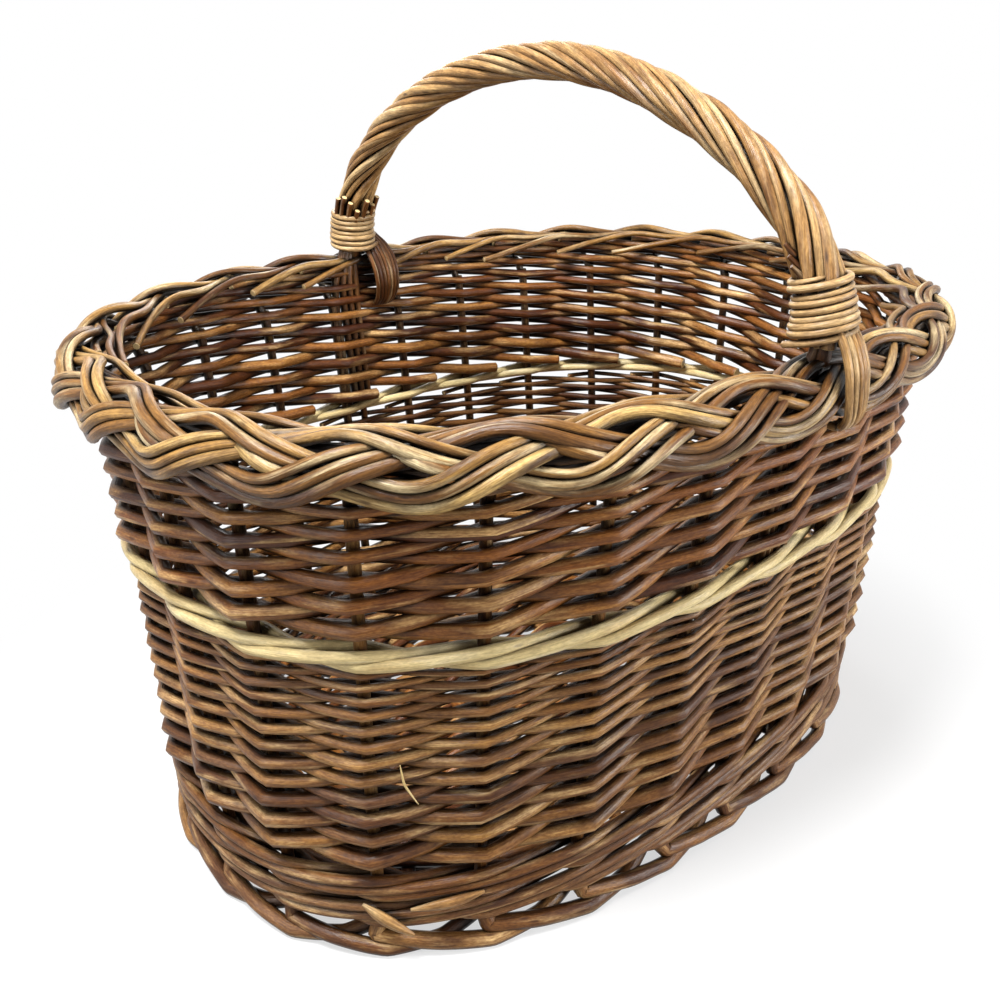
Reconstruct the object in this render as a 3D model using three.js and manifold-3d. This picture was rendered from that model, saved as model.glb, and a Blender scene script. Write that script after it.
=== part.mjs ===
// Oval wicker firewood basket with a roped handle, in millimetres, +Z up.
// The origin is on the ground under the middle of the basket. X runs along
// the oval and the handle spans it along Y.
import * as THREE from 'three';
import { mergeVertices } from 'three/addons/utils/BufferGeometryUtils.js';
import Module from 'manifold-3d';

// Oval of the wall, measured on the middle line of the stakes
const footHalfLength = 228;
const footHalfWidth = 155;
const rimHalfLength = 238;
const rimHalfWidth = 180;
const ovalPower = 2.45;            // 2 is an ellipse, more is squarer

// Stakes: upright rods that carry the weave and turn out below as the foot
const stakeCount = 25;
const stakeShift = 0.75;           // turns them round the oval, in spacings
const stakeDiameter = 6;
const footRodDiameter = 7.5;
const footRun = 1.45;              // length of a foot, in stake spacings
const footKink = 0.3;              // where it meets the ground, in spacings
const footSpread = 9;              // how far the kink stands out
const footPass = 6.3;              // how far out it passes the next stake
const footTuck = 5;                // how far the end tucks in

// Layers of the wall, from the ground up
const openFootHeight = 20;         // see-through gap under the woven wall
const waleRodDiameter = 5;
const upsettRounds = 2;
const lowerSidingHeight = 118;
const lowerSidingRows = 15;
const upperSidingHeight = 70;
const upperSidingRows = 12;
const sidingThickness = 5;

// Clearances
const rodGap = 0.5;                // between rods that lie on each other
const stakeGap = 0.5;              // between a rod and the stake it passes
const seatGap = 0.3;               // between a piece and what carries it

// Plaited border
const strandWidth = 11;
const strandThickness = 7;
const strandGap = 2.6;             // where one strand dives under another
const plaitRadius = 12;            // the plait curls over the rim
const plaitSwing = 80;             // degrees to each side
const plaitLean = 35;              // degrees outwards from straight up
const plaitOutset = 8;
const plaitRise = 8;               // its middle, above the siding
const stakeTail = 4;               // the stakes run up into its hollow by this

// Handle: a bent bow, the rods roped round it and two bindings
const archOutset = 3;              // its feet stand this far outside the rim
const archRise = 112;
const archFootRise = 32;           // above the middle of the border
const bowDiameter = 10;
const bowLegLength = 100;          // down the inside of the wall
const ropeRodCount = 8;
const ropeRodDiameter = 5;
const ropeTurns = 4;
const bindingDiameter = 3;
const bindingTurns = 7;
const bindingPitch = 4.2;          // closes up on the inner side of the arch
const tuckRods = 4;                // rod ends that lie over the border
const tuckRodDiameter = 4.6;
const tuckShift = 15;              // the rear ones pass beside the bow
const tuckGroove = 0.3;            // how deep the grooves between them are
const frontSweep = [20, 40, 70, 100, 130];   // degrees, down the outside
const rearSweep = [10, 40, 70, 100];         // degrees, down the inside

// Base: long sticks through slit cross sticks, woven round
const longSticks = 3;
const longStickDiameter = 4.4;
const crossSticks = 7;
const crossStickDiameter = 8;
const crossStickSpacing = 32;      // where the long sticks pass through
const baseWeaveThickness = 4;
const baseRows = 8;

// Facets
const stakeSides = 5;
const weaveSides = 4;
const strandSides = 6;
const plaitSteps = 4;              // from one stake to the next
const bowSides = 8;
const bowSteps = 24;
const ropeSides = 5;
const ropeSteps = 34;
const bindingSides = 5;
const bindingSteps = 14;           // in one turn

// Heights that follow from the layers
const waleLift = waleRodDiameter + rodGap;
const waleHeight = 2 * waleLift + waleRodDiameter + rodGap;
const lowerSidingBottom = openFootHeight + upsettRounds * waleHeight;
const whiteWaleBottom = lowerSidingBottom + lowerSidingHeight;
const upperSidingBottom = whiteWaleBottom + waleHeight;
const sidingTop = upperSidingBottom + upperSidingHeight;
const plaitHeight = sidingTop + plaitRise;
const stakeTop = plaitHeight + stakeTail;
const archFootHeight = plaitHeight + archFootRise;
const archHalfSpan = rimHalfWidth + archOutset;

// How far the rods stand off the middle line of the stakes
const waleOffset = (stakeDiameter + waleRodDiameter) / 2 + stakeGap;
const sidingOffset = (stakeDiameter + sidingThickness) / 2 + stakeGap;
const wallInside = Math.max(waleOffset + waleRodDiameter / 2, sidingOffset + sidingThickness / 2);

const fullTurn = 2 * Math.PI;
const up = new THREE.Vector3(0, 0, 1);

const wasm = await Module();
wasm.setup();

// Materials: bark, weathered bark, the handle's buff rods and peeled rods
const finishes = {
  bark: { color: 0x7d5f40, roughness: 0.62 },
  weathered: { color: 0x6a5138, roughness: 0.66 },
  buff: { color: 0xc79c5e, roughness: 0.5 },
  plait: { color: 0xa37c4b, roughness: 0.55 },
  peeled: { color: 0xe6d9a6, roughness: 0.5 },
};

// A place on an oval whose angle runs anticlockwise from the +X end
function ovalPoint(halfLength, halfWidth, angle) {
  const share = 2 / ovalPower;
  const c = Math.cos(angle);
  const s = Math.sin(angle);
  const x = halfLength * Math.sign(c) * Math.abs(c) ** share;
  const y = halfWidth * Math.sign(s) * Math.abs(s) ** share;
  return new THREE.Vector3(x, y, 0);
}

// The outward direction there, square to the oval
function ovalNormal(halfLength, halfWidth, point) {
  const x = Math.abs(point.x / halfLength) ** (ovalPower - 1);
  const y = Math.abs(point.y / halfWidth) ** (ovalPower - 1);
  const alongX = (Math.sign(point.x) * x) / halfLength;
  const alongY = (Math.sign(point.y) * y) / halfWidth;
  return new THREE.Vector3(alongX, alongY, 0).normalize();
}

// Turns shares of a curve's length into its parameter, from 0 to range
function evenly(pointAt, range) {
  const samples = 1440;
  const lengths = [0];
  for (let i = 1; i <= samples; i += 1) {
    const before = pointAt(((i - 1) / samples) * range);
    const here = pointAt((i / samples) * range);
    lengths.push(lengths[i - 1] + here.distanceTo(before));
  }
  const total = lengths[samples];
  const parameterAt = (share) => {
    const target = Math.min(Math.max(share, 0), 1) * total;
    let i = 1;
    while (i < samples && lengths[i] < target) {
      i += 1;
    }
    const part = (target - lengths[i - 1]) / (lengths[i] - lengths[i - 1]);
    return ((i - 1 + part) / samples) * range;
  };
  return { total, parameterAt };
}

const rimLine = evenly((angle) => ovalPoint(rimHalfLength, rimHalfWidth, angle), fullTurn);

// A station is the centre of a rod with the direction that its back faces.
// This one lies by the wall: place counts stakes, outset is off their line.
function wallStation(place, height, outset) {
  const turn = (place + stakeShift) / stakeCount;
  const angle = rimLine.parameterAt(turn - Math.floor(turn));
  const share = height / sidingTop;
  const halfLength = THREE.MathUtils.lerp(footHalfLength, rimHalfLength, share);
  const halfWidth = THREE.MathUtils.lerp(footHalfWidth, rimHalfWidth, share);
  const centre = ovalPoint(halfLength, halfWidth, angle);
  const outward = ovalNormal(halfLength, halfWidth, centre);
  centre.addScaledVector(outward, outset);
  centre.z = height;
  return { centre, outward };
}

// Volume inside a shell, negative where its faces point inwards
function signedVolume(points, faces) {
  let volume = 0;
  for (let i = 0; i < faces.length; i += 3) {
    const a = points[faces[i]];
    const b = points[faces[i + 1]];
    const c = points[faces[i + 2]];
    volume += a.dot(b.clone().cross(c)) / 6;
  }
  return volume;
}

function shell(points, faces) {
  const turned = signedVolume(points, faces) < 0;
  const outwards = turned ? faces.slice().reverse() : faces;
  const geometry = new THREE.BufferGeometry();
  geometry.setFromPoints(points);
  geometry.setIndex(outwards);
  return geometry;
}

// Triangles that fill an outline, all turned the way it runs
function filled(outline) {
  const contour = outline.map((point) => new THREE.Vector2(point.out, point.across));
  const whole = THREE.ShapeUtils.area(contour);
  return THREE.ShapeUtils.triangulateShape(contour, []).map(([a, b, c]) => {
    const piece = THREE.ShapeUtils.area([contour[a], contour[b], contour[c]]);
    return piece * whole > 0 ? [a, b, c] : [a, c, b];
  });
}

// Joins the rings that an outline leaves into a tube, endless or with flat
// ends
function loft(rings, outline, endless) {
  const sides = outline.length;
  const faces = [];
  const joins = endless ? rings.length : rings.length - 1;
  for (let i = 0; i < joins; i += 1) {
    const here = i * sides;
    const next = ((i + 1) % rings.length) * sides;
    for (let k = 0; k < sides; k += 1) {
      const beside = (k + 1) % sides;
      faces.push(here + k, next + k, next + beside);
      faces.push(here + k, next + beside, here + beside);
    }
  }
  if (!endless) {
    const last = (rings.length - 1) * sides;
    filled(outline).forEach(([a, b, c]) => {
      faces.push(a, b, c);
      faces.push(last + a, last + c, last + b);
    });
  }
  return shell(rings.flat(), faces);
}

// Where a rod points at each station: the mean of the runs on both sides
function headings(stations, endless) {
  const count = stations.length;
  return stations.map((station, i) => {
    const before = endless ? stations[(i + count - 1) % count] : stations[Math.max(i - 1, 0)];
    const after = endless ? stations[(i + 1) % count] : stations[Math.min(i + 1, count - 1)];
    const arriving = station.centre.clone().sub(before.centre).normalize();
    const leaving = after.centre.clone().sub(station.centre).normalize();
    return arriving.add(leaving).normalize();
  });
}

// The outline that a rod carries along: points as shares of its half sizes
function roundOutline(sides, turn) {
  const outline = [];
  for (let k = 0; k < sides; k += 1) {
    const angle = turn + (k / sides) * fullTurn;
    outline.push({ out: Math.cos(angle), across: Math.sin(angle) });
  }
  return outline;
}

// A rod through its stations: thickness along their outward direction and
// width across it, both times a station's own size where it has one. Where a
// station has its own direction across, the rod is cut along that.
function rod(stations, outline, thickness, width, endless = false) {
  const ways = headings(stations, endless);
  const rings = stations.map((station, i) => {
    const across = station.across ?? ways[i].clone().cross(station.outward).normalize();
    const out = station.across ? station.outward : across.clone().cross(ways[i]);
    const size = station.size ?? 1;
    return outline.map((point) => {
      const moved = station.centre.clone();
      moved.addScaledVector(out, (point.out * size * thickness) / 2);
      moved.addScaledVector(across, (point.across * size * width) / 2);
      return moved;
    });
  });
  return loft(rings, outline, endless);
}

// Cuts one closed geometry out of another
function cutOut(geometry, tool) {
  const solids = [geometry, tool].map((shape) => {
    const bare = shape.clone();
    bare.deleteAttribute('normal');
    bare.deleteAttribute('uv');
    const merged = mergeVertices(bare);
    const vertProperties = new Float32Array(merged.getAttribute('position').array);
    const triVerts = new Uint32Array(merged.getIndex().array);
    return new wasm.Manifold(new wasm.Mesh({ numProp: 3, vertProperties, triVerts }));
  });
  const mesh = solids[0].subtract(solids[1]).getMesh();
  const result = new THREE.BufferGeometry();
  result.setAttribute('position', new THREE.BufferAttribute(mesh.vertProperties, 3));
  result.setIndex(new THREE.BufferAttribute(mesh.triVerts, 1));
  return result;
}

const basket = new THREE.Group();

function place(name, geometry, finish) {
  const look = new THREE.MeshStandardMaterial({ ...finishes[finish], metalness: 0 });
  const mesh = new THREE.Mesh(geometry, look);
  mesh.name = name;
  basket.add(mesh);
  return mesh;
}

function numbered(name, index, count) {
  return count === 1 ? name : `${name}_${index + 1}`;
}

// Stakes. Each comes down the wall, kinks out on the ground and runs on
// past the next one, behind which its butt end is tucked.
function stakeGeometry(index) {
  const outline = roundOutline(stakeSides, Math.PI / 2);
  const flatDrop = Math.cos(Math.PI / stakeSides);
  const groundHeight = (flatDrop * footRodDiameter) / 2;
  const footSize = footRodDiameter / stakeDiameter;
  const stations = [
    wallStation(index + footRun, groundHeight, -footTuck),
    wallStation(index + 1, groundHeight, footPass),
    wallStation(index + footKink, groundHeight, footSpread),
    wallStation(index, openFootHeight, 0),
    wallStation(index, stakeTop, 0),
  ];
  stations[0].size = footSize;
  stations[1].size = footSize;
  stations[2].size = footSize;
  const geometry = rod(stations, outline, stakeDiameter, stakeDiameter);
  const points = geometry.getAttribute('position');
  for (let i = 0; i < points.count; i += 1) {
    points.setZ(i, Math.max(points.getZ(i), 0));
  }
  return geometry;
}

// Siding. The rod runs in front of one stake and behind the next, and with
// an odd number of stakes one rod fills every row as it climbs. An even
// number takes two that follow each other.
function addSiding(name, bottom, height, rows, finish) {
  const chasers = stakeCount % 2 === 1 ? 1 : 2;
  const pitch = height / rows;
  const rodHeight = pitch - rodGap;
  const climb = height - chasers * pitch;
  const places = Math.round((stakeCount * (rows - chasers)) / chasers);
  for (let chaser = 0; chaser < chasers; chaser += 1) {
    const stations = [];
    for (let i = 0; i <= places; i += 1) {
      const side = (i + chaser) % 2 === 0 ? 1 : -1;
      const z = bottom + pitch / 2 + chaser * pitch + (climb * i) / places;
      stations.push(wallStation(i, z, side * sidingOffset));
    }
    const geometry = rod(stations, roundOutline(weaveSides, 0), sidingThickness, rodHeight);
    place(numbered(name, chaser, chasers), geometry, finish);
  }
}

// A round worked with three strands closes on itself: as one endless rod
// that goes round three times, or as three rods where three goes into the
// number of stakes
function threeStrandRounds() {
  if (stakeCount % 3 === 0) {
    return [0, 1, 2].map((start) => ({ start, turns: 1 }));
  }
  return [{ start: 0, turns: 3 }];
}

// Three-rod wale: in front of two stakes, low and then high, and behind the
// third
function addWale(name, bottom, finish) {
  const middle = bottom + waleHeight / 2;
  const steps = [
    { side: -1, lift: 0 },
    { side: 1, lift: -1 },
    { side: 1, lift: 1 },
  ];
  const rounds = threeStrandRounds();
  rounds.forEach((round, index) => {
    const stations = [];
    for (let i = 0; i < round.turns * stakeCount; i += 1) {
      const step = steps[(i + round.start) % 3];
      stations.push(wallStation(i, middle + step.lift * waleLift, step.side * waleOffset));
    }
    const outline = roundOutline(weaveSides, 0);
    const geometry = rod(stations, outline, waleRodDiameter, waleRodDiameter, true);
    place(numbered(name, index, rounds.length), geometry, finish);
  });
}

// Plaited border. Each of its three strands swings from side to side, two
// swings to a dive, over a band that curls from inside the rim to outside.
function addBorder() {
  const halfStep = Math.PI / 3;
  const fine = plaitSteps / 2;
  const dive = (strandThickness + strandGap) / (2 * Math.sin(halfStep));
  const rounds = threeStrandRounds();
  rounds.forEach((round, index) => {
    const stations = [];
    for (let i = 0; i < plaitSteps * round.turns * stakeCount; i += 1) {
      const phase = (i / fine - 0.5) * halfStep + round.start * 2 * halfStep;
      const angle = THREE.MathUtils.degToRad(plaitLean + plaitSwing * Math.sin(phase));
      const reach = plaitRadius - dive * Math.sin(2 * phase);
      const outset = plaitOutset + reach * Math.sin(angle);
      const station = wallStation(i / plaitSteps, sidingTop, outset);
      station.centre.z = plaitHeight + reach * Math.cos(angle);
      station.outward.multiplyScalar(Math.sin(angle)).addScaledVector(up, Math.cos(angle));
      stations.push(station);
    }
    const outline = roundOutline(strandSides, 0);
    const geometry = rod(stations, outline, strandThickness, strandWidth, true);
    place(numbered('border_plait', index, rounds.length), geometry, 'plait');
  });
}

// The handle's middle line: half an ellipse in the plane X = 0, from the
// front foot at -Y to the rear foot
function archPoint(angle) {
  const y = -archHalfSpan * Math.cos(angle);
  const z = archFootHeight + archRise * Math.sin(angle);
  return new THREE.Vector3(0, y, z);
}

const archLine = evenly(archPoint, Math.PI);

// A station beside the arch: length from the front foot, distance from its
// middle line and turn about it, 0 being the outer side
function archStation(length, distance, turn) {
  const angle = archLine.parameterAt(length / archLine.total);
  const centre = archPoint(angle);
  const y = -Math.cos(angle) / archHalfSpan;
  const z = Math.sin(angle) / archRise;
  const away = new THREE.Vector3(0, y, z).normalize();
  const outward = away.multiplyScalar(Math.cos(turn));
  outward.x = Math.sin(turn);
  centre.addScaledVector(outward, distance);
  return { centre, outward };
}

// A station in the plane of the handle over or under the rim, on the front
// side (-1) or the rear side (1)
function rimStation(side, height, outset, shift = 0) {
  const share = Math.min(height / sidingTop, 1);
  const halfWidth = THREE.MathUtils.lerp(footHalfWidth, rimHalfWidth, share);
  const centre = new THREE.Vector3(shift, side * (halfWidth + outset), height);
  return { centre, outward: new THREE.Vector3(0, side, 0) };
}

// Bow: down the inside of the wall, past the border and over the arch
function bowGeometry() {
  const inset = wallInside + seatGap + bowDiameter / 2;
  const shoulder = plaitHeight + plaitRadius;
  const legBottom = sidingTop - bowLegLength;
  const stations = [
    rimStation(-1, legBottom, -inset),
    rimStation(-1, sidingTop, -inset),
    rimStation(-1, shoulder, -inset),
  ];
  for (let i = 0; i <= bowSteps; i += 1) {
    stations.push(archStation((archLine.total * i) / bowSteps, 0, 0));
  }
  stations.push(rimStation(1, shoulder, -inset));
  stations.push(rimStation(1, sidingTop, -inset));
  stations.push(rimStation(1, legBottom, -inset));
  return rod(stations, roundOutline(bowSides, 0), bowDiameter, bowDiameter);
}

// Roped rods: laid side by side round the bow, from binding to binding
const ropeSeat = 2 * seatGap;
const ropeRadius = (bowDiameter + ropeRodDiameter) / 2 + ropeSeat;
const ropeEnd = bindingDiameter / 2;

function ropeRodGeometry(index) {
  const stations = [];
  const run = archLine.total - 2 * ropeEnd;
  for (let i = 0; i <= ropeSteps; i += 1) {
    const share = i / ropeSteps;
    const turn = (index / ropeRodCount + ropeTurns * share) * fullTurn;
    stations.push(archStation(ropeEnd + run * share, ropeRadius, turn));
  }
  return rod(stations, roundOutline(ropeSides, 0), ropeRodDiameter, ropeRodDiameter);
}

// Binding: one rod wound round the foot of the handle, its ends straight
function bindingGeometry(atRear) {
  const radius = ropeRadius + (ropeRodDiameter + bindingDiameter) / 2 + seatGap;
  const stations = [];
  for (let i = 0; i <= bindingTurns * bindingSteps; i += 1) {
    const turns = i / bindingSteps;
    const length = ropeEnd + bindingPitch * turns;
    const fromFront = atRear ? archLine.total - length : length;
    stations.push(archStation(fromFront, radius, turns * fullTurn));
  }
  stations.unshift(straightEnd(stations[0], stations[1]));
  stations.push(straightEnd(stations.at(-1), stations.at(-2)));
  const gap = leastOwnGap(stations).toFixed(2);
  console.log(`${atRear ? 'rear' : 'front'} binding: ${gap} mm to itself at the least`);
  return rod(stations, roundOutline(bindingSides, 0), bindingDiameter, bindingDiameter);
}

// One more station beyond the last, straight on for one diameter
function straightEnd(last, before) {
  const onwards = last.centre.clone().sub(before.centre).setLength(bindingDiameter);
  return { centre: last.centre.clone().add(onwards), outward: last.outward };
}

// The least gap between stations at least half a turn apart
function leastOwnGap(stations) {
  let least = Infinity;
  for (let i = 0; i < stations.length; i += 1) {
    for (let k = i + bindingSteps / 2; k < stations.length; k += 1) {
      least = Math.min(least, stations[i].centre.distanceTo(stations[k].centre));
    }
  }
  return least - bindingDiameter;
}

// Tucked ends: rods side by side that pass from a binding over the border
function tuckOutline() {
  const outline = [];
  for (let k = 0; k <= 2 * tuckRods; k += 1) {
    const ridge = k % 2 === 1;
    outline.push({ out: ridge ? 1 : tuckGroove, across: k / tuckRods - 1 });
  }
  outline.push({ out: -1, across: 1 }, { out: -1, across: -1 });
  return outline;
}

function tuckGeometry(side, lean, shift, sweep) {
  const clear = plaitRadius + strandThickness + tuckRodDiameter / 2 + rodGap;
  const besideBow = archOutset + (bowDiameter + tuckRodDiameter) / 2 + seatGap;
  const topHeight = archFootHeight + ropeEnd - bindingDiameter / 2 - rodGap;
  const stations = [rimStation(side, topHeight, lean > 0 ? besideBow : 0, shift)];
  sweep.forEach((degrees) => {
    const angle = THREE.MathUtils.degToRad(degrees);
    const outset = plaitOutset + lean * clear * Math.sin(angle);
    const station = rimStation(side, plaitHeight + clear * Math.cos(angle), outset, shift);
    station.centre.y = side * (rimHalfWidth + outset);
    station.outward.multiplyScalar(lean * Math.sin(angle)).addScaledVector(up, Math.cos(angle));
    stations.push(station);
  });
  return rod(stations, tuckOutline(), tuckRodDiameter, tuckRods * tuckRodDiameter);
}

// Base. The cross sticks are slit and the long sticks pass through them
// side by side. From this spine all stick ends fan out, evenly round the oval.
const baseHeight = openFootHeight + waleHeight / 2;
const baseEdge = wallInside + seatGap;
const longStickPitch = longStickDiameter + rodGap;
const spineHalfWidth = (longSticks * longStickPitch) / 2;
const spineHalfLength = ((crossSticks + 1) * crossStickSpacing) / 2;

// Where the fanned part of each stick begins, anticlockwise from the +X tip
function spinePoints() {
  const points = [];
  [1, -1].forEach((side) => {
    for (let i = 0; i < longSticks; i += 1) {
      const row = side * (i - (longSticks - 1) / 2);
      points.push(new THREE.Vector3(side * spineHalfLength, row * longStickPitch, baseHeight));
    }
    for (let i = 0; i < crossSticks; i += 1) {
      const row = side * ((crossSticks - 1) / 2 - i);
      points.push(new THREE.Vector3(row * crossStickSpacing, side * spineHalfWidth, baseHeight));
    }
  });
  return points;
}

const stickEnds = spinePoints().map((spine, index, all) => {
  const turn = (index - (longSticks - 1) / 2) / all.length;
  const edge = wallStation(turn * stakeCount - stakeShift, baseHeight, -baseEdge).centre;
  return { spine, edge };
});

function flatStation(centre) {
  return { centre, outward: up };
}

// A station over or under a stick: depth runs from 0 at the edge to 1 at the
// spine
function baseStation(index, depth, lift) {
  const end = stickEnds[index % stickEnds.length];
  const centre = end.edge.clone().lerp(end.spine, depth);
  const across = end.spine.clone().sub(end.edge).normalize();
  centre.z += lift;
  return { centre, outward: up.clone(), across };
}

function longStickGeometry(index) {
  const farEnd = stickEnds[2 * longSticks + crossSticks - 1 - index];
  const nearEnd = stickEnds[index];
  const stations = [farEnd.edge, farEnd.spine, nearEnd.spine, nearEnd.edge].map(flatStation);
  return rod(stations, roundOutline(weaveSides, Math.PI / 4), longStickDiameter, longStickDiameter);
}

function crossStickGeometry(index) {
  const farEnd = stickEnds[2 * (longSticks + crossSticks) - 1 - index];
  const nearEnd = stickEnds[longSticks + index];
  const middle = farEnd.spine.clone().lerp(nearEnd.spine, 0.5);
  const stations = [farEnd.edge, farEnd.spine, nearEnd.spine, nearEnd.edge].map(flatStation);
  const stick = rod(stations, roundOutline(strandSides, 0), crossStickDiameter, crossStickDiameter);
  const slitWidth = longSticks * longStickPitch + rodGap;
  const slitHeight = longStickDiameter + rodGap;
  const slit = new THREE.BoxGeometry(2 * crossStickDiameter, slitWidth, slitHeight);
  slit.translate(middle.x, middle.y, middle.z);
  return cutOut(stick, slit);
}

// Two rods chase each other inwards, over one stick and under the next. The
// long sticks of one end count together as one.
function baseWeaveGeometry(chaser) {
  const lift = (crossStickDiameter + baseWeaveThickness) / 2 + stakeGap;
  const shortest = Math.min(...stickEnds.map((end) => end.edge.distanceTo(end.spine)));
  const width = shortest / baseRows - rodGap;
  const half = longSticks + crossSticks;
  const turns = baseRows / 2 - 1;
  const stations = [];
  let passed = chaser;
  for (let i = 0; i <= 2 * half * turns; i += 1) {
    const inHalf = i % half;
    passed += inHalf === 0 || inHalf >= longSticks ? 1 : 0;
    const side = passed % 2 === 0 ? 1 : -1;
    const rowsIn = 0.5 + chaser + i / half;
    stations.push(baseStation(i, rowsIn / baseRows, side * lift));
  }
  return rod(stations, roundOutline(weaveSides, 0), baseWeaveThickness, width);
}

// The basket from the ground up
for (let i = 0; i < stakeCount; i += 1) {
  place(`stake_${i + 1}`, stakeGeometry(i), 'weathered');
}
for (let i = 0; i < longSticks; i += 1) {
  place(`base_long_stick_${i + 1}`, longStickGeometry(i), 'bark');
}
for (let i = 0; i < crossSticks; i += 1) {
  place(`base_cross_stick_${i + 1}`, crossStickGeometry(i), 'bark');
}
for (let i = 0; i < 2; i += 1) {
  place(`base_weave_${i + 1}`, baseWeaveGeometry(i), 'bark');
}
for (let i = 0; i < upsettRounds; i += 1) {
  addWale(`upsett_wale_${i + 1}`, openFootHeight + i * waleHeight, 'weathered');
}
addSiding('lower_siding', lowerSidingBottom, lowerSidingHeight, lowerSidingRows, 'weathered');
addWale('white_wale', whiteWaleBottom, 'peeled');
addSiding('upper_siding', upperSidingBottom, upperSidingHeight, upperSidingRows, 'bark');
addBorder();
place('handle_bow', bowGeometry(), 'buff');
for (let i = 0; i < ropeRodCount; i += 1) {
  place(`handle_rope_rod_${i + 1}`, ropeRodGeometry(i), 'buff');
}
place('front_binding', bindingGeometry(false), 'buff');
place('rear_binding', bindingGeometry(true), 'buff');
place('front_tucked_ends', tuckGeometry(-1, 1, 0, frontSweep), 'buff');
place('rear_tucked_ends', tuckGeometry(1, -1, tuckShift, rearSweep), 'buff');

export default basket;
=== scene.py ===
# Wicker firewood basket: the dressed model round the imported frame.
# Lengths are in millimetres and become metres where the camera and the meshes are made. What the
# materials, the floor and the lamps have is in metres, and so is the camera's clip.
import bpy
import numpy as np
from mathutils import Matrix


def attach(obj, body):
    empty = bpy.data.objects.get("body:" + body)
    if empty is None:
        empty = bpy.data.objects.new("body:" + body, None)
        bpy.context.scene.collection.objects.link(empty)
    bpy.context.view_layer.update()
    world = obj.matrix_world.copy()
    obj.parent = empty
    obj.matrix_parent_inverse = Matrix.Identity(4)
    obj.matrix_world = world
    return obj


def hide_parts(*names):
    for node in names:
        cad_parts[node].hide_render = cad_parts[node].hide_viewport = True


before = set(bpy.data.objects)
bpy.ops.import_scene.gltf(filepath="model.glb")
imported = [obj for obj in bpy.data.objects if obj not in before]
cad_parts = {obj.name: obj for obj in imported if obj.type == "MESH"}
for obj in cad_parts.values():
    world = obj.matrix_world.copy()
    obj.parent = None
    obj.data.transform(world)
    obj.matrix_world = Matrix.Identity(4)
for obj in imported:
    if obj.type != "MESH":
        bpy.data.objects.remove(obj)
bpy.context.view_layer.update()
millimetre = 0.001
randomSeed = 25
rng = np.random.default_rng(randomSeed)
print("frame loaded:", len(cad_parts), "nodes")

# Camera, as the photograph was taken
cameraSpec = {"position": (-387.0, -429.8, 417.2), "aim": (-7.4, 7.3, 155.1), "roll": -0.01,
              "lens": 36.155, "sensor": 36.0, "shiftX": -0.0168, "clip": (0.01, 20)}


def placed(side, top, back, place):
    # the matrix whose columns are the three axes and the place
    matrix = np.eye(4)
    matrix[:3] = np.stack([side, top, back, place], 1)
    return Matrix(matrix.tolist())


def makeCamera(spec):
    # right and above are square to the view direction, then turned by the roll
    position, aim = np.array(spec["position"]), np.array(spec["aim"])
    ahead = (aim - position) / np.linalg.norm(aim - position)
    right = np.cross(ahead, (0, 0, 1))
    right /= np.linalg.norm(right)
    above = np.cross(right, ahead)
    c, s = np.cos(spec["roll"]), np.sin(spec["roll"])
    side, top = c * right + s * above, c * above - s * right
    data = bpy.data.cameras.new("photoCamera")
    data.lens, data.sensor_width, data.sensor_fit = spec["lens"], spec["sensor"], "HORIZONTAL"
    data.shift_x = spec["shiftX"]
    data.clip_start, data.clip_end = spec["clip"]
    camera = bpy.data.objects.new("photoCamera", data)
    camera.matrix_world = placed(side, top, -ahead, position * millimetre)
    bpy.context.collection.objects.link(camera)
    bpy.context.scene.camera = camera


makeCamera(cameraSpec)
print("camera placed")

# Materials: willow in five finishes

# Each grain layer has its features in a metre along the rod and round it, the noise's own scale and
# detail, the values between which it goes from dark to light, and how dark its dark end is
layers = {
    "patches": {"grain": (16, 55), "scale": 1.0, "detail": 4, "low": 0.50, "high": 0.66},
    "light": {"grain": (11, 70), "scale": 1.7, "detail": 3, "low": 0.52, "high": 0.70},
    "wide": {"scale": 9.0, "detail": 2, "low": 0.35, "high": 0.65, "dark": 0.62},
    "mottle": {"grain": (110, 480), "scale": 1.0, "detail": 6, "low": 0.36, "high": 0.62, "dark": 0.30},
    "streaks": {"grain": (55, 1500), "scale": 1.0, "detail": 3, "low": 0.38, "high": 0.60, "dark": 0.40},
    "fine": {"grain": (420, 1400), "scale": 1.0, "detail": 4, "low": 0.40, "high": 0.58, "dark": 0.34},
    "scars": {"grain": (55, 230), "scale": 1.0, "low": 0.08, "high": 0.2},
    "scarred": {"grain": (21, 90), "scale": 1.0, "detail": 1, "low": 0.50, "high": 0.56},
}
# the occlusion values here set the painted shade: how dark the hollows are painted, the openness above which
# nothing is painted, and how many samples look for the hollows
grainSpec = {"scarDark": 0.25, "paintedShadeDark": 0.02, "paintedShadeFree": 0.80, "paintedShadeSamples": 4,
             "warmth": (0.35, -0.08, -0.3), "reliefShares": (0.6, 0.8), "reliefHeight": 0.0006}


def linear(colour):
    # screen colour 0 to 255 to the linear light that shaders take
    c = np.array(colour) / 255
    return tuple(np.where(c <= 0.04045, c / 12.92, ((c + 0.055) / 1.055) ** 2.4)) + (1.0,)


def nodeAdder(tree):
    # the function that it returns makes a node with its settings and its inputs, each of which is
    # a value or the socket that it is linked to
    def add(kind, inputs=None, **settings):
        node = tree.nodes.new(kind)
        for key, value in settings.items():
            setattr(node, key, value)
        for key, value in (inputs or {}).items():
            if isinstance(value, bpy.types.NodeSocket):
                tree.links.new(value, node.inputs[key])
            else:
                node.inputs[key].default_value = value
        return node

    return add


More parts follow.
